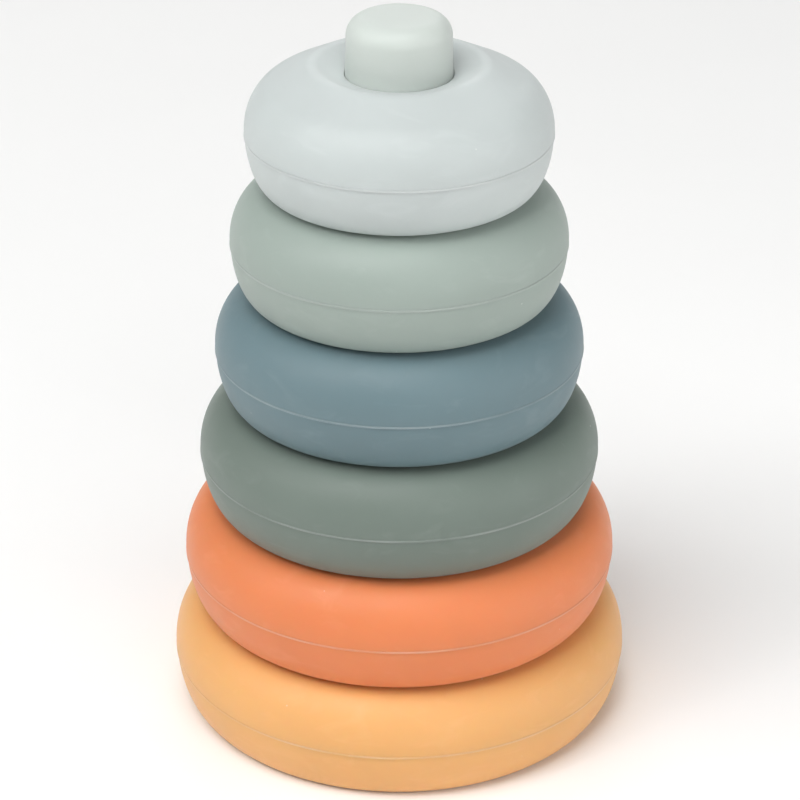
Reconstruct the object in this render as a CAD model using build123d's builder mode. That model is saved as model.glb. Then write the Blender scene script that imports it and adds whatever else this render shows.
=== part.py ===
from build123d import *
import os
from math import acos, atan2, degrees, hypot, radians, tan

# A stacking ring toy in soft silicone. Millimetres, +Z up, origin at the centre of the base's underside.
# A tapered peg stands in a hollow base, and five hollow rings drop over the peg, largest first.
# The base and every ring are two shells, an upper and a lower, bonded at a seam under the widest line.
# All of them share one section, and its heights are measured from the ring's own foot.

# Stack
PITCH = 24.2  # height that each ring adds to the stack
BASE_RADIUS = 50.0
RING_RADII = [47.0, 43.1, 39.25, 35.5, 31.95]  # from the largest ring to the top one

# Outside of the section
WIDEST_Z = 12.6  # the widest line
SEAM_Z = 11.5
SEAM_STEP = 0.2  # the lower shell is this much smaller in radius
FOOT_INSET = 5.4  # from the widest line in to the foot's edge
SHOULDER_INSET = 8.8  # from the widest line in to the top of the shoulder's ellipse
SHOULDER_HEIGHT = 11.0  # from the widest line up to the top of the shoulder's ellipse
BORE_EDGE_RADIUS = 1.5  # rounding where the bore meets the underside

# Crown. A cone rises from the shoulder to a peak, and a dish falls from the peak to the bore.
PEAK_Z = 26.9  # before the peak is rounded; it nests under the ring above
PEAK_REACH = 6.6  # from the bore out to the peak
PEAK_RADIUS = 3.8
DISH_SLOPE = 0.36
DISH_EDGE_RADIUS = 0.8  # rounding where the dish meets the bore

# Peg
PEG_TOP_Z = 157.7
PEG_TIP_RADIUS = 10.85  # where the rounding of the tip begins
PEG_ROOT_RADIUS = 14.0  # one pitch above the base's underside
PEG_EDGE_RADIUS = 4.0
PEG_WALL = 3.0
PEG_HOLLOW_EDGE_RADIUS = 2.0
FLANGE_RADIUS = 18.0
FLANGE_THICKNESS = 3.0

# Walls and fits
WALL = 3.2
RING_CLEARANCE = 0.3  # between the peg and a ring's bore
PEG_FIT = 0.1  # between the peg and the base's pieces that hold it
LIP_THICKNESS = 1.4  # the lower shell's lip stands inside the upper shell's wall
LIP_HEIGHT = 2.0
LIP_GAP = 0.1
BOSS_HEIGHT = 8.0  # the base's boss, which centres the foot of the peg

DISH_Z = PEAK_Z - PEAK_REACH * DISH_SLOPE  # where the dish meets the bore
PEG_DRAFT = (PEG_ROOT_RADIUS - PEG_TIP_RADIUS) / (PEG_TOP_Z - PEG_EDGE_RADIUS - PITCH)
FLANGE_TOP_Z = WALL + FLANGE_THICKNESS
SPAN = 2 * BASE_RADIUS  # longer and taller than any section, for the cutting rectangles


def peg_radius(z):
    """Radius of the peg's tapered side at height z above the ground."""
    return PEG_ROOT_RADIUS - PEG_DRAFT * (z - PITCH)


def shoulder_angle(radius, peak, inset=0):
    """Angle in degrees along the shoulder's ellipse at which the line to the peak is tangent."""
    x = (peak[0] - radius + SHOULDER_INSET) / (SHOULDER_INSET - inset)
    z = (peak[1] - WIDEST_Z) / (SHOULDER_HEIGHT - inset)
    return degrees(atan2(z, x) - acos(1 / hypot(x, z)))


def crown_slope(radius, bore):
    """Rise of the crown's cone for each millimetre towards the peak."""
    angle = shoulder_angle(radius, (bore + PEAK_REACH, PEAK_Z))
    return SHOULDER_HEIGHT / SHOULDER_INSET / tan(radians(angle))


def crown_peak(radius, bore, inset=0):
    """Where the crown's cone and its dish would meet if the peak weren't rounded."""
    cone_slope = crown_slope(radius, bore)
    shift = inset * (hypot(1, DISH_SLOPE) - hypot(1, cone_slope)) / (DISH_SLOPE + cone_slope)
    height = PEAK_Z - inset * hypot(1, DISH_SLOPE) + DISH_SLOPE * shift
    return bore + PEAK_REACH + shift, height


def dish_edge(bore, inset=0):
    """Where the dish and the bore would meet if their edge weren't rounded."""
    return bore + inset, DISH_Z - inset * (hypot(1, DISH_SLOPE) - DISH_SLOPE)


def half_section(radius, bore_foot, bore_top, underside_slope=0, inset=0):
    """Half section of a ring as radius against height, all of its outline moved inwards by inset."""
    peak = crown_peak(radius, bore_top, inset)
    dish_foot = dish_edge(bore_top, inset)
    foot_x = radius - FOOT_INSET
    bore_edge = (bore_foot + inset, inset + underside_slope * (foot_x - bore_foot - inset))
    shoulder_center = (radius - SHOULDER_INSET, WIDEST_Z)
    shoulder_radii = (SHOULDER_INSET - inset, SHOULDER_HEIGHT - inset)
    shoulder_size = shoulder_angle(radius, peak, inset)
    with BuildSketch() as section:
        with BuildLine():
            foot = EllipticalCenterArc(
                (foot_x, WIDEST_Z), FOOT_INSET - inset, WIDEST_Z - inset, 270, arc_size=90
            )
            shoulder = EllipticalCenterArc(shoulder_center, *shoulder_radii, 0, arc_size=shoulder_size)
            Polyline(shoulder @ 1, peak, dish_foot, bore_edge, foot @ 0)
        make_face()
        fillet(section.vertices().sort_by_distance(peak)[0], PEAK_RADIUS - inset)
        fillet(section.vertices().sort_by_distance(dish_foot)[0], DISH_EDGE_RADIUS)
        fillet(section.vertices().sort_by_distance(bore_edge)[0], BORE_EDGE_RADIUS)
    return section.sketch


def beyond(corner, x_align, z_align):
    """A rectangle reaching far out from its corner, to cut a section with."""
    with BuildSketch() as rectangle:
        with Locations(corner):
            Rectangle(SPAN, SPAN, align=(x_align, z_align))
    return rectangle.sketch


def wall_stretch(outer, inner, height, from_radius=0):
    """The layer of wall between two outlines, from the seam up to a height above it."""
    with BuildSketch() as stretch:
        add(outer)
        add(inner, mode=Mode.SUBTRACT)
        add(beyond((0, SEAM_Z), Align.MIN, Align.MAX), mode=Mode.SUBTRACT)
        add(beyond((0, SEAM_Z + height), Align.MIN, Align.MIN), mode=Mode.SUBTRACT)
        add(beyond((from_radius, 0), Align.MAX, Align.MIN), mode=Mode.SUBTRACT)
    return stretch.sketch


def write(part, name):
    """Label a finished piece and write it to its own file."""
    part.label = name
    export_step(part, f"parts/{name}.step")


os.makedirs("parts", exist_ok=True)

# Base. Its lower shell is a closed tray, and its upper shell has a sleeve that holds the peg's flange down.
base_bores = (peg_radius(0) + PEG_FIT, peg_radius(DISH_Z) + PEG_FIT)
base_outside = half_section(BASE_RADIUS, *base_bores)
base_cavity = half_section(BASE_RADIUS, *base_bores, inset=WALL)
base_lip = half_section(BASE_RADIUS, *base_bores, inset=WALL - LIP_THICKNESS)
base_recess = half_section(BASE_RADIUS, *base_bores, inset=WALL - LIP_THICKNESS - LIP_GAP)
sleeve_side = base_bores[0] + 2 * WALL  # a radius in the cavity, outside the sleeve
boss_radius = peg_radius(WALL + BOSS_HEIGHT) - PEG_WALL - PEG_FIT

with BuildPart() as base_lower_shell:
    with BuildSketch(Plane.XZ):
        add(half_section(BASE_RADIUS - SEAM_STEP, *base_bores))
        add(base_cavity, mode=Mode.SUBTRACT)
        add(beyond((0, SEAM_Z), Align.MIN, Align.MIN), mode=Mode.SUBTRACT)
        add(beyond((sleeve_side, WALL), Align.MAX, Align.MIN), mode=Mode.SUBTRACT)
        add(wall_stretch(base_lip, base_cavity, LIP_HEIGHT, sleeve_side))
        Rectangle(sleeve_side, WALL, align=(Align.MIN, Align.MIN))
        Rectangle(boss_radius, WALL + BOSS_HEIGHT, align=(Align.MIN, Align.MIN))
    revolve(axis=Axis.Z)
write(base_lower_shell.part, "base_lower_shell")

with BuildPart() as base_upper_shell:
    with BuildSketch(Plane.XZ):
        add(base_outside)
        add(base_cavity, mode=Mode.SUBTRACT)
        base_groove = wall_stretch(base_recess, base_cavity, LIP_HEIGHT + LIP_GAP, sleeve_side)
        add(base_groove, mode=Mode.SUBTRACT)
        add(beyond((sleeve_side, SEAM_Z), Align.MIN, Align.MAX), mode=Mode.SUBTRACT)
        add(beyond((0, FLANGE_TOP_Z), Align.MIN, Align.MAX), mode=Mode.SUBTRACT)
    revolve(axis=Axis.Z)
write(base_upper_shell.part, "base_upper_shell")

# Peg. A tapered tube with a closed, rounded tip and a flange that the base holds.
with BuildPart() as peg:
    with BuildSketch(Plane.XZ) as peg_section:
        tip = (peg_radius(PEG_TOP_Z), PEG_TOP_Z)
        hollow_tip = (peg_radius(PEG_TOP_Z) - PEG_WALL, PEG_TOP_Z - PEG_WALL)
        with BuildLine():
            Polyline(
                (0, PEG_TOP_Z),
                tip,
                (peg_radius(FLANGE_TOP_Z), FLANGE_TOP_Z),
                (FLANGE_RADIUS, FLANGE_TOP_Z),
                (FLANGE_RADIUS, WALL),
                (peg_radius(WALL) - PEG_WALL, WALL),
                hollow_tip,
                (0, PEG_TOP_Z - PEG_WALL),
                close=True,
            )
        make_face()
        corners = peg_section.sketch_local.vertices()
        fillet(corners.sort_by_distance(tip)[0], PEG_EDGE_RADIUS)
        corners = peg_section.sketch_local.vertices()
        fillet(corners.sort_by_distance(hollow_tip)[0], PEG_HOLLOW_EDGE_RADIUS)
    revolve(axis=Axis.Z)
write(peg.part, "peg")

# Rings. Each bore follows the peg's taper, and each underside clears the crown of the ring below.
radius_below, bore_below = BASE_RADIUS, base_bores[1]
for number, radius in enumerate(RING_RADII, start=1):
    foot_z = number * PITCH
    bore_foot = peg_radius(foot_z) + RING_CLEARANCE
    bore_top = peg_radius(foot_z + DISH_Z) + RING_CLEARANCE
    shape = (bore_foot, bore_top, crown_slope(radius_below, bore_below))
    cavity = half_section(radius, *shape, inset=WALL)
    lip = half_section(radius, *shape, inset=WALL - LIP_THICKNESS)
    recess = half_section(radius, *shape, inset=WALL - LIP_THICKNESS - LIP_GAP)
    upright = Plane((0, 0, foot_z), x_dir=(1, 0, 0), z_dir=(0, -1, 0))

    with BuildPart() as lower_shell:
        with BuildSketch(upright):
            add(half_section(radius - SEAM_STEP, *shape))
            add(cavity, mode=Mode.SUBTRACT)
            add(beyond((0, SEAM_Z), Align.MIN, Align.MIN), mode=Mode.SUBTRACT)
            add(wall_stretch(lip, cavity, LIP_HEIGHT))
        revolve(axis=Axis.Z)
    write(lower_shell.part, f"ring_{number}_lower_shell")

    with BuildPart() as upper_shell:
        with BuildSketch(upright):
            add(half_section(radius, *shape))
            add(cavity, mode=Mode.SUBTRACT)
            add(wall_stretch(recess, cavity, LIP_HEIGHT + LIP_GAP), mode=Mode.SUBTRACT)
            add(beyond((0, SEAM_Z), Align.MIN, Align.MAX), mode=Mode.SUBTRACT)
        revolve(axis=Axis.Z)
    write(upper_shell.part, f"ring_{number}_upper_shell")

    radius_below, bore_below = radius, bore_top
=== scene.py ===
from math import acos, atan2, cos, hypot, pi, radians, sin, tan

import bmesh
import bpy
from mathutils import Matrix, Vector, noise


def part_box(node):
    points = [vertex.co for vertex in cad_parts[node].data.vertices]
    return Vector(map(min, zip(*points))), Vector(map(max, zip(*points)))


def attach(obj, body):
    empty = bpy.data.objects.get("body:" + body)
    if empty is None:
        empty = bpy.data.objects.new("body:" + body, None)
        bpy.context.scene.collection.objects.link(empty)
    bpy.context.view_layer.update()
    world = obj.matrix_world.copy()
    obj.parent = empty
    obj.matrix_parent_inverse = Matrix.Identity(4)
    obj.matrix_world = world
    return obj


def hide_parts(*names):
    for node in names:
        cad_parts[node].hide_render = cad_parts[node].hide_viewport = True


# Looks of a stacking ring toy in matte silicone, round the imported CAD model. +Z is up, the front at -Y.
# The toy's lengths are in millimetres, as in the CAD model, and MM turns them into metres.
# The floor, the lights and the camera are in metres.

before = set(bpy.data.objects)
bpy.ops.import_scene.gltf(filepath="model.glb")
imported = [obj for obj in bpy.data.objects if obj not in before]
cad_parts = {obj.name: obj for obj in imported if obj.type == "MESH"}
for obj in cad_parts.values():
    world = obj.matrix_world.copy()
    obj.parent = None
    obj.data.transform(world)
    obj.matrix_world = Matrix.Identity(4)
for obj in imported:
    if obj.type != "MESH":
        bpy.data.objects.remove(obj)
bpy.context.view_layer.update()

MM = 0.001
AROUND = 180  # vertices round each turned piece
WHITE = (1, 1, 1, 1)

# The section that the base and every ring share, its heights measured from the ring's own foot
WIDEST_Z = 12.6
SEAM_Z = 11.5
FOOT_INSET = 5.4
FOOT_LIFT = 0.2  # a ring's foot is drawn this much higher, for the dark line over the crown below
SHOULDER_INSET = 8.8
SHOULDER_HEIGHT = 11.0
PEAK_Z = 26.9
PEAK_REACH = 6.6
PEAK_RADIUS = 3.8
DISH_SLOPE = 0.36
DISH_EDGE_RADIUS = 0.5
DISH_Z = PEAK_Z - PEAK_REACH * DISH_SLOPE  # where the dish's line meets the bore's
BORE_EDGE_RADIUS = 1.5
BORE_TAPER = 0.0243  # how much a bore's radius shrinks over each unit of height
SNUG = 0.2  # how much closer to the peg the bores are drawn
WALL = 3.2

# The seam, where a thin flash stands over the set-back edge of the lower shell
SEAM_STEP = 0.1
SEAM_GAP = 0.02
SEAM_EDGE_RADIUS = 0.12
SEAM_INSET = 0.02  # how far the foot curve has turned in at the seam
SEAM_SUPPORT = 0.9  # how far inside a row of vertices holds the seam's faces flat
FLASH_HEIGHT = 0.36
FLASH_REACH = 0.1

PEG_EDGE_RADIUS = 4.0
PEG_WALL = 3.0
PEG_CLEARANCE = 0.1  # how far the peg stands clear of the base's bore
FLANGE_THICKNESS = 3.0

RINGS = ("base", "ring_1", "ring_2", "ring_3", "ring_4", "ring_5")


# ---- Outlines, as lists of (radius, height) in millimetres ----


def arc(center, radii, start, end, steps):
    """Points along an ellipse's arc between two angles in radians."""
    angles = [start + (end - start) * i / steps for i in range(steps + 1)]
    return [(center[0] + radii[0] * cos(a), center[1] + radii[1] * sin(a)) for a in angles]


def straight(start, end, steps):
    """Points along a straight line, with its first end left out."""
    return [
        tuple(s + (e - s) * i / steps for s, e in zip(start, end)) for i in range(1, steps + 1)
    ]


def rounded(before, corner, after, radius, steps):
    """Points along the fillet of a corner between two straight lines."""
    corner = Vector(corner)
    back = (Vector(before) - corner).normalized()
    ahead = (Vector(after) - corner).normalized()
    half = back.angle(ahead) / 2
    center = corner + (back + ahead).normalized() * radius / sin(half)
    start = corner + back * radius / tan(half) - center
    end = corner + ahead * radius / tan(half) - center
    first = atan2(start.y, start.x)
    turn = (atan2(end.y, end.x) - first + pi) % (2 * pi) - pi
    return arc(center, (radius, radius), first, first + turn, steps)


def narrowest(node):
    """The smallest radius of a CAD node's mesh, in millimetres."""
    return min(hypot(v.co.x, v.co.y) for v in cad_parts[node].data.vertices) / MM


class Section:
    """The outline of one ring, with heights measured from its foot."""

    def __init__(self, name):
        self.name = name
        self.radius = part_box(f"{name}_upper_shell")[1].x / MM
        self.foot_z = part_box(f"{name}_lower_shell")[0].z / MM
        bore = narrowest(f"{name}_upper_shell")
        self.peak_radius = bore + PEAK_REACH
        self.dish_bore = bore if name == "base" else bore - SNUG
        self.foot_lift = 0.0 if name == "base" else FOOT_LIFT
        self.underside_slope = 0.0

    def bore(self, z):
        """The bore's radius at a height."""
        return self.dish_bore + BORE_TAPER * (DISH_Z - z)

    def crown_leaves(self, peak, inset):
        """The angle along the shoulder where the crown's cone leaves it for the peak."""
        x = (peak[0] - self.radius + SHOULDER_INSET) / (SHOULDER_INSET - inset)
        z = (peak[1] - WIDEST_Z) / (SHOULDER_HEIGHT - inset)
        return atan2(z, x) - acos(1 / hypot(x, z))

    def crown_slope(self):
        """How much the crown's cone rises for each unit inwards."""
        leave = self.crown_leaves((self.peak_radius, PEAK_Z), 0)
        return SHOULDER_HEIGHT / SHOULDER_INSET / tan(leave)

    def peak(self, inset):
        """The crown's sharp peak, between its cone and its dish."""
        slope = self.crown_slope()
        shift = inset * (hypot(1, DISH_SLOPE) - hypot(1, slope)) / (DISH_SLOPE + slope)
        height = PEAK_Z - inset * hypot(1, DISH_SLOPE) + DISH_SLOPE * shift
        return self.peak_radius + shift, height

    def foot_curve(self, inset, step, from_foot, steps):
        """The curve from the foot's edge up to the seam, or on from the seam to the widest line."""
        center = (self.radius - FOOT_INSET - step, WIDEST_Z)
        radii = (FOOT_INSET - inset, WIDEST_Z - self.foot_lift - inset)
        seam = acos((WIDEST_Z - SEAM_Z) / radii[1]) - pi / 2
        ends = (-pi / 2, seam) if from_foot else (seam, 0)
        return arc(center, radii, *ends, steps)

    def over_crown(self, inset):
        """From the seam outside, over the shoulder and the crown, and down the dish to the bore."""
        peak = self.peak(inset)
        center = (self.radius - SHOULDER_INSET, WIDEST_Z)
        radii = (SHOULDER_INSET - inset, SHOULDER_HEIGHT - inset)
        shoulder = arc(center, radii, 0, self.crown_leaves(peak, inset), 26)
        dish_foot = (self.dish_bore + inset, DISH_Z - inset * (hypot(1, DISH_SLOPE) - DISH_SLOPE))
        below = (self.bore(SEAM_Z) + inset, SEAM_Z)
        crest = rounded(shoulder[-1], peak, dish_foot, PEAK_RADIUS - inset, 14)
        cone = straight(shoulder[-1], crest[0], 12)
        edge = rounded(peak, dish_foot, below, DISH_EDGE_RADIUS, 6)
        dish = straight(crest[-1], edge[0], 4)
        outline = self.foot_curve(inset, 0, False, 4)[1:-1] + shoulder + cone[:-1]
        return outline + crest + dish[:-1] + edge

    def under(self, inset):
        """From the seam in the bore, down and along the underside, and up the foot to the seam."""
        seam = (self.bore(SEAM_Z) + inset, SEAM_Z)
        foot = self.foot_curve(inset, SEAM_STEP, True, 26)
        run = foot[0][0] - self.bore(0) - inset
        edge = (self.bore(0) + inset, foot[0][1] + self.underside_slope * run)
        roll = rounded(seam, edge, foot[0], BORE_EDGE_RADIUS, 6)
        bore = straight(seam, roll[0], 6)
        return [seam] + bore[:-1] + roll + straight(roll[-1], foot[0], 12)[:-1] + foot[:-1]

    def upper_edge(self):
        """The upper shell's edge outside at the seam, with the weight of its flash as a third value."""
        wall = self.radius
        low = SEAM_Z + SEAM_GAP / 2
        return [
            (wall - SEAM_SUPPORT, low, 0),
            (wall - 0.25, low, 0),
            (wall - 0.02, low, 0.9),
            (wall, low + 0.05, 1),
            (wall, low + 0.6 * FLASH_HEIGHT, 0.9),
            (wall, low + FLASH_HEIGHT, 0.2),
            (wall, low + FLASH_HEIGHT + 0.15, 0),
        ]

    def lower_edge(self):
        """The lower shell's rounded edge outside at the seam, from below."""
        wall = self.radius - SEAM_STEP - SEAM_INSET
        top = SEAM_Z - SEAM_GAP / 2
        center = (wall - SEAM_EDGE_RADIUS, top - SEAM_EDGE_RADIUS)
        edge = arc(center, (SEAM_EDGE_RADIUS, SEAM_EDGE_RADIUS), 0, pi / 2, 5)
        return edge + [(wall - SEAM_SUPPORT, top)]

    def raised(self, outline):
        """The same outline at its place in the stack, with a flash weight for every point."""
        return [(p[0], p[1] + self.foot_z, p[2] if len(p) > 2 else 0) for p in outline]


# ---- Meshes ----


def flash(angle, seed):
    """How far the flash stands out at an angle round the seam, from 0 to 1."""
    at = Vector((cos(angle), sin(angle), seed))
    slow = noise.noise(at * 2.3)
    fast = noise.noise(at * 9.0 + Vector((0, 0, 40)))
    return max(0.15, min(1.0, 0.6 + 0.5 * slow + 0.35 * fast))


def placed(name, mesh):
    """A finished mesh as an object in the scene."""
    data = bpy.data.meshes.new(name)
    mesh.to_mesh(data)
    mesh.free()
    piece = bpy.data.objects.new(name, data)
    bpy.context.scene.collection.objects.link(piece)
    return piece


def turned_row(mesh, outline, angle, seed):
    """An outline's vertices at one angle, with the flash standing out there."""
    reach = FLASH_REACH * flash(angle, seed)
    row = []
    for radius, z, weight in outline:
        radius += weight * reach
        row.append(mesh.verts.new((radius * cos(angle) * MM, radius * sin(angle) * MM, z * MM)))
    return row


def close_at_axis(mesh, rows, outline):
    """A fan of faces at each end of an outline that starts and ends on the axis."""
    for end, j in ((outline[0], 0), (outline[-1], -1)):
        tip = mesh.verts.new((0, 0, end[1] * MM))
        for here, there in zip(rows, rows[1:] + rows[:1]):
            mesh.faces.new((tip, here[j], there[j]))


def turned(name, outline, seed=0.0):
    """A closed mesh, turned from an outline, which may start and end on the axis."""
    on_axis = outline[0][0] == 0
    body = outline[1:-1] if on_axis else outline
    bands = len(body) - 1 if on_axis else len(body)
    mesh = bmesh.new()
    rows = [turned_row(mesh, body, 2 * pi * i / AROUND, seed) for i in range(AROUND)]
    for here, there in zip(rows, rows[1:] + rows[:1]):
        for j in range(bands):
            k = (j + 1) % len(body)
            mesh.faces.new((here[j], there[j], there[k], here[k]))
    if on_axis:
        close_at_axis(mesh, rows, outline)
    bmesh.ops.recalc_face_normals(mesh, faces=mesh.faces)
    for face in mesh.faces:
        face.smooth = True
    return placed(name, mesh)


def fit(piece, node, body, material):
    """Let a piece stand for a CAD node, moving with the node's body."""
    piece.data.materials.append(material)
    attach(piece, body)
    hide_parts(node)


def upper_shell(section, seed):
    """A ring's upper shell, outside and inside."""
    bore_seam = (section.bore(SEAM_Z), SEAM_Z + SEAM_GAP / 2)
    outside = section.upper_edge() + section.over_crown(0)
    outside += straight(outside[-1][:2], bore_seam, 8)
    inner = section.over_crown(WALL)
    inner_seam = (section.bore(SEAM_Z) + WALL, SEAM_Z + SEAM_GAP / 2)
    wall_seam = (section.radius - WALL, SEAM_Z + SEAM_GAP / 2)
    outline = outside + [inner_seam] + inner[::-1] + [wall_seam]
    return turned(f"{section.name}_upper", section.raised(outline), seed)


def lower_shell(section):
    """A ring's lower shell, outside and inside."""
    inner = section.under(WALL)
    top = SEAM_Z - SEAM_GAP / 2
    inner[0] = (inner[0][0], top)
    outer = section.under(0)
    outer[0] = (outer[0][0], top)
    wall_seam = (section.radius - SEAM_STEP - WALL, top)
    outline = outer[:-1] + section.lower_edge() + [wall_seam] + inner[::-1]
    return turned(f"{section.name}_lower", section.raised(outline))


def base_upper_shell(section, seed):
    """The base's upper shell, with the sleeve that stands on the peg's flange."""
    sleeve_z = WALL + FLANGE_THICKNESS
    outside = section.upper_edge() + section.over_crown(0)
    outside += straight(outside[-1][:2], (section.bore(sleeve_z), sleeve_z), 10)
    inner = section.over_crown(WALL)
    wall_seam = (section.radius - WALL, SEAM_Z + SEAM_GAP / 2)
    outline = outside + [(section.bore(sleeve_z) + WALL, sleeve_z)] + inner[::-1] + [wall_seam]
    return turned(f"{section.name}_upper", section.raised(outline), seed)


def base_lower_shell(section):
    """The base's tray, closed underneath."""
    foot = section.foot_curve(0, SEAM_STEP, True, 26)
    inside = section.foot_curve(WALL, SEAM_STEP, True, 12)
    wall_seam = (section.radius - SEAM_STEP - WALL, SEAM_Z - SEAM_GAP / 2)
    underside = straight((0, 0), foot[0], 30)[:-1]
    outline = [(0, 0)] + underside + foot[:-2] + section.lower_edge() + [wall_seam]
    outline += inside[:-1][::-1] + straight(inside[0], (0, WALL), 8)
    return turned(f"{section.name}_lower", section.raised(outline))


def peg_piece(base):
    """The peg, a tapered tube with a closed, rounded tip and a flange at its foot."""
    low, high = (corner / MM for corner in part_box("peg"))
    flange_z = low.z + FLANGE_THICKNESS
    foot_radius = base.bore(flange_z) - PEG_CLEARANCE
    foot = (foot_radius, flange_z)
    top_radius = foot_radius - BORE_TAPER * (high.z - flange_z)
    corner = (top_radius, high.z)
    tip = rounded((0, high.z), corner, foot, PEG_EDGE_RADIUS, 16)
    hollow_top = (top_radius - PEG_WALL, high.z - PEG_WALL)
    outline = [(0, high.z)] + straight((0, high.z), tip[0], 6)[:-1] + tip
    outline += straight(tip[-1], foot, 40) + [(high.x, flange_z), (high.x, low.z)]
    outline += [(foot_radius - PEG_WALL, low.z), hollow_top, (0, high.z - PEG_WALL)]
    return turned("peg_tube", [(r, z, 0) for r, z in outline])


# ---- Materials ----


RUB_LIGHTENING = 0.035  # added to each share of a rub's colour
FLASH_HIGHLIGHT_LIGHTENING = 0.12  # how far the painted highlight on the flash goes towards white
DUST_SHARE = 0.3  # how much of a speck's colour is dust


def linear(red, green, blue):
    """A colour given in screen values from 0 to 255, as the shaders want it."""
    shares = [value / 255 for value in (red, green, blue)]
    return [s / 12.92 if s <= 0.04045 else ((s + 0.055) / 1.055) ** 2.4 for s in shares] + [1]


class Graph:
    """A material's nodes, added and linked in short lines."""

    def __init__(self, name):
        self.material = bpy.data.materials.new(name)
        self.material.use_nodes = True
        self.tree = self.material.node_tree
        self.shader = self.tree.nodes["Principled BSDF"]

    def node(self, kind, inputs=(), **settings):
        """A new node. Each input is a value, or another node's output to link."""
        made = self.tree.nodes.new("ShaderNode" + kind)
        for key, value in settings.items():
            setattr(made, key, value)
        for key, value in dict(inputs).items():
            self.feed(made, key, value)
        return made

    def feed(self, node, key, value):
        """Give an input a value, or link it to another node's output."""
        if isinstance(value, bpy.types.NodeSocket):
            self.tree.links.new(value, node.inputs[key])
        else:
            node.inputs[key].default_value = value

    def noise(self, coordinates, scale, detail, distortion=0.0):
        """Noise from 0 to 1, its scale in features for each metre."""
        inputs = {"Vector": coordinates, "Scale": scale, "Detail": detail, "Distortion": distortion}
        return self.node("TexNoise", inputs).outputs["Fac"]

    def maths(self, operation, first, second=0.0):
        """The result of one sum."""
        return self.node("Math", {0: first, 1: second}, operation=operation).outputs[0]

    def spread(self, value, low, high, to_low, to_high):
        """The value's range from low to high stretched to another range, and held there."""
        inputs = {
            "Value": value, "From Min": low, "From Max": high, "To Min": to_low, "To Max": to_high
        }
        return self.node("MapRange", inputs, clamp=True).outputs["Result"]

    def blend(self, share, first, second):
        """A mix of two colours."""
        mix = self.node("Mix", data_type="RGBA")
        self.feed(mix, 0, share)
        self.feed(mix, 6, first)
        self.feed(mix, 7, second)
        return mix.outputs[2]


def scaled(colour, factor):
    """A colour made lighter or darker."""
    return [min(1.0, c * factor) for c in colour[:3]] + [1]


def flash_highlight_band(graph, whole, at, seam_z):
    """From 0 to 1 on the thin flash at the seam, which comes and goes round the ring: the mask of a
    painted highlight.
    """
    height = graph.node("SeparateXYZ", {"Vector": whole}).outputs["Z"]
    middle = (seam_z + FLASH_HEIGHT / 2) * MM
    away = graph.maths("ABSOLUTE", graph.maths("SUBTRACT", height, middle))
    band = graph.spread(away, 0.5 * FLASH_HEIGHT * MM, 0.8 * FLASH_HEIGHT * MM, 1, 0)
    patchy = graph.spread(graph.noise(at, 60, 2), 0.38, 0.62, 0.35, 1)
    return graph.maths("MULTIPLY", band, patchy)


def clouded(graph, at, colour):
    """The colour, a little darker and lighter in soft clouds."""
    cloud = graph.spread(graph.noise(at, 28, 3), 0.3, 0.7, 0, 1)
    return graph.blend(cloud, scaled(colour, 0.955), scaled(colour, 1.035))


def rubbed(graph, at, colour, body):
    """Faint pale rubs, drawn out round the ring."""
    stretched = graph.node("Mapping", {"Vector": at, "Scale": (1, 1, 2.5)}).outputs["Vector"]
    rubs = graph.spread(graph.noise(stretched, 75, 6, 1.2), 0.56, 0.76, 0, 0.7)
    return graph.blend(rubs, body, [share + RUB_LIGHTENING for share in colour[:3]] + [1])


def dusted(graph, at, body):
    """A few small specks of dust."""
    specks = graph.node("TexVoronoi", {"Vector": at, "Scale": 260.0})
    near = graph.spread(specks.outputs["Distance"], 0.035, 0.06, 1, 0)
    rare = graph.spread(specks.outputs["Color"], 0.82, 0.84, 0, 1)
    dust = graph.spread(graph.maths("MULTIPLY", near, rare), 0, 1, 0, DUST_SHARE)
    return graph.blend(dust, body, linear(240, 240, 232))


def grained(graph, at):
    """The surface's normal, with a fine grain over a slow ripple."""
    grain = graph.noise(at, 3200, 2)
    ripple = graph.noise(at, 120, 3)
    coarse = graph.node("Bump", {"Height": ripple, "Strength": 0.25, "Distance": 0.0004})
    fine = {"Height": grain, "Strength": 0.3, "Distance": 0.00003, "Normal": coarse.outputs[0]}
    return graph.node("Bump", fine).outputs[0]


def silicone(name, colour, seed, seam_z):
    """Matte silicone with a soft sheen, where light goes in and spreads."""
    graph = Graph(name)
    whole = graph.node("TexCoord").outputs["Object"]
    place = graph.node("Mapping", {"Vector": whole, "Location": (seed, seed * 0.7, seed * 1.3)})
    at = place.outputs["Vector"]

    body = rubbed(graph, at, colour, clouded(graph, at, colour))
    body = dusted(graph, at, body)
    # Painted highlight: the flash at the seam is painted part way towards white, standing in for the
    # light its ridge catches.
    edge = graph.maths("MULTIPLY", flash_highlight_band(graph, whole, at, seam_z), FLASH_HIGHLIGHT_LIGHTENING)
    graph.feed(graph.shader, "Base Color", graph.blend(edge, body, WHITE))
    roughness = graph.spread(graph.noise(at, 70, 4), 0.3, 0.75, 0.46, 0.6)
    graph.feed(graph.shader, "Roughness", roughness)
    graph.feed(graph.shader, "Normal", grained(graph, at))

    # Light spreads furthest in the colours that the silicone sends back
    graph.shader.subsurface_method = "RANDOM_WALK"
    graph.feed(graph.shader, "Subsurface Weight", 0.3)
    graph.feed(graph.shader, "Subsurface Radius", colour[:3])
    graph.feed(graph.shader, "Subsurface Scale", 0.004)
    graph.feed(graph.shader, "Specular IOR Level", 0.4)
    graph.feed(graph.shader, "Sheen Weight", 0.08)
    graph.feed(graph.shader, "Sheen Roughness", 0.5)
    return graph.material


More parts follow.
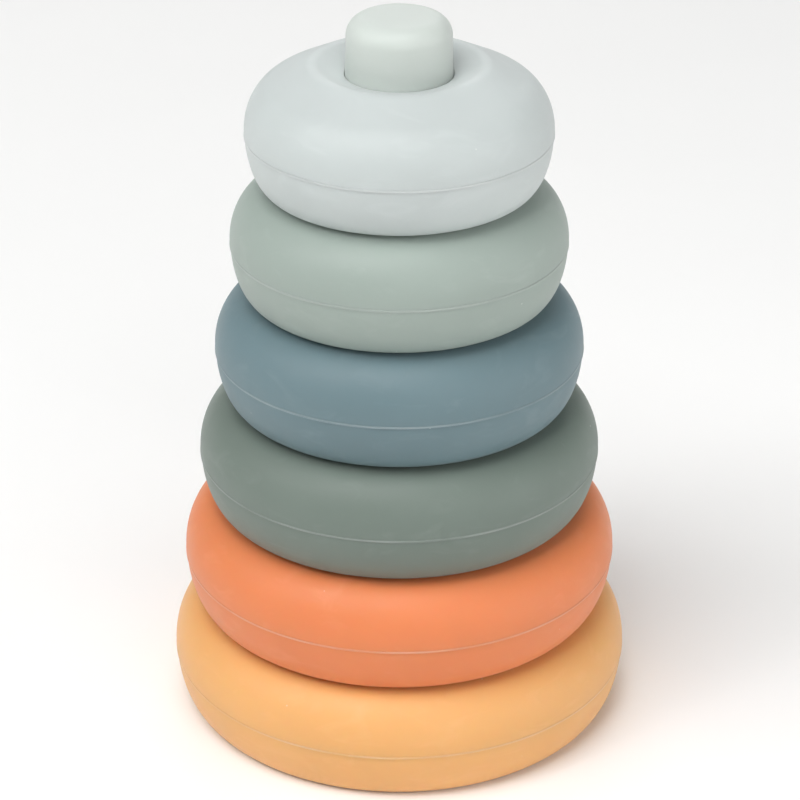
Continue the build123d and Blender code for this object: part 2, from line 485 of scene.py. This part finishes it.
# Colours of the mouldings, from the base up, with the record's material slots
COLOURS = {
    "base": ("apricot_silicone", linear(229, 172, 108)),
    "ring_1": ("orange_silicone", linear(223, 131, 82)),
    "ring_2": ("dark_sage_silicone", linear(113, 125, 117)),
    "ring_3": ("dusty_blue_silicone", linear(105, 127, 133)),
    "ring_4": ("light_sage_silicone", linear(154, 166, 159)),
    "ring_5": ("pale_blue_silicone", linear(191, 198, 197)),
    "peg": ("off_white_silicone", linear(195, 202, 197)),
}


# ---- The toy ----

rings = {name: Section(name) for name in RINGS}
for below, name in zip(RINGS, RINGS[1:]):
    rings[name].underside_slope = rings[below].crown_slope()

for number, name in enumerate(RINGS):
    section = rings[name]
    slot_name, colour = COLOURS[name]
    material = silicone(f"{name}_silicone", colour, 1.7 * number + 0.4, section.foot_z + SEAM_Z)
    upper = base_upper_shell(section, number) if name == "base" else upper_shell(section, number)
    lower = base_lower_shell(section) if name == "base" else lower_shell(section)
    fit(upper, f"{name}_upper_shell", name, material)
    fit(lower, f"{name}_lower_shell", name, material)

slot_name, colour = COLOURS["peg"]
peg = peg_piece(rings["base"])
fit(peg, "peg", "base", silicone("peg_silicone", colour, 12.5, 0))


# ---- Floor, light and camera ----

FLOOR_RADII = (0.05, 0.15, 0.4, 1.0, 2.5, 6.0)
FLOOR_AROUND = 64
GLOW_START = 0.5
GLOW_END = 4.0
GLOW_STRENGTH = 0.9
HORIZON_HEIGHT = 0.12  # where the horizon's glow ends, in a direction one unit long
LIGHT_SIZE = 1.2
LIGHT_DISTANCE = 2.0
LIGHT_TARGET = Vector((0, 0, 0.08))  # about the toy's middle


def pale_paper():
    """Matte paper that glows softly far from the toy, where the lights don't reach."""
    graph = Graph("floor_paper")
    at = graph.node("TexCoord").outputs["Object"]
    cloud = graph.noise(at, 6, 3)
    paper = graph.blend(cloud, linear(243, 243, 242), linear(248, 248, 247))
    graph.feed(graph.shader, "Base Color", paper)
    graph.feed(graph.shader, "Roughness", 0.9)
    graph.feed(graph.shader, "Specular IOR Level", 0.1)
    far = graph.node("VectorMath", {0: at}, operation="LENGTH").outputs["Value"]
    glow = graph.spread(far, GLOW_START, GLOW_END, 0, GLOW_STRENGTH)
    graph.feed(graph.shader, "Emission Color", WHITE)
    graph.feed(graph.shader, "Emission Strength", glow)
    return graph.material


def floor():
    """A wide disc under the toy, with rings of faces that widen outwards."""
    mesh = bmesh.new()
    middle = mesh.verts.new((0, 0, 0))
    angles = [2 * pi * i / FLOOR_AROUND for i in range(FLOOR_AROUND)]
    rows = []
    for radius in FLOOR_RADII:
        rows.append([mesh.verts.new((radius * cos(a), radius * sin(a), 0)) for a in angles])
    for i in range(FLOOR_AROUND):
        j = (i + 1) % FLOOR_AROUND
        mesh.faces.new((middle, rows[0][i], rows[0][j]))
        for inner, outer in zip(rows, rows[1:]):
            mesh.faces.new((inner[i], outer[i], outer[j], inner[j]))
    piece = placed("floor", mesh)
    piece.data.materials.append(pale_paper())


def soft_light(name, azimuth, elevation, power):
    """A square soft box aimed at the toy. Azimuth 0 is in front, and grows to the right."""
    a, e = radians(azimuth), radians(elevation)
    back = Vector((sin(a) * cos(e), -cos(a) * cos(e), sin(e)))
    data = bpy.data.lights.new(name, "AREA")
    data.shape = "SQUARE"
    data.size = LIGHT_SIZE
    data.energy = power
    light = bpy.data.objects.new(name, data)
    light.location = LIGHT_TARGET + back * LIGHT_DISTANCE
    light.rotation_mode = "QUATERNION"
    light.rotation_quaternion = (-back).to_track_quat("-Z", "Y")
    bpy.context.scene.collection.objects.link(light)


def room(low, high):
    """A pale surround, brighter near the horizon than above."""
    world = bpy.data.worlds.new("room")
    world.use_nodes = True
    tree = world.node_tree
    direction = tree.nodes.new("ShaderNodeTexCoord").outputs["Generated"]
    split = tree.nodes.new("ShaderNodeSeparateXYZ")
    fade = tree.nodes.new("ShaderNodeMapRange")
    fade.inputs["From Min"].default_value = 0.0
    fade.inputs["From Max"].default_value = HORIZON_HEIGHT
    fade.inputs["To Min"].default_value = low
    fade.inputs["To Max"].default_value = high
    background = tree.nodes["Background"]
    background.inputs["Color"].default_value = WHITE
    tree.links.new(direction, split.inputs["Vector"])
    tree.links.new(split.outputs["Z"], fade.inputs["Value"])
    tree.links.new(fade.outputs["Result"], background.inputs["Strength"])
    bpy.context.scene.world = world


def camera():
    """The camera at the photograph's angle: above the front, looking down."""
    elevation = radians(26.55)
    dip = radians(0.775)
    distance = 0.611
    middle_z = 0.0798
    data = bpy.data.cameras.new("camera")
    data.sensor_width = 36
    data.lens = 128.35
    data.shift_x = 0.0009
    cam = bpy.data.objects.new("camera", data)
    cam.location = (0, -distance * cos(elevation), middle_z + distance * sin(elevation))
    cam.rotation_euler = (pi / 2 - elevation - dip, 0, 0)
    bpy.context.scene.collection.objects.link(cam)
    bpy.context.scene.camera = cam


floor()
soft_light("key", -35, 62, 24)
soft_light("left", -70, 38, 13.5)
soft_light("right", 70, 12, 13)
soft_light("front", 20, 30, 8.5)
soft_light("top", 15, 80, 9)
soft_light("back", 180, 30, 9)
room(0.5, 0.03)
camera()
bpy.context.scene.view_settings.view_transform = "Standard"
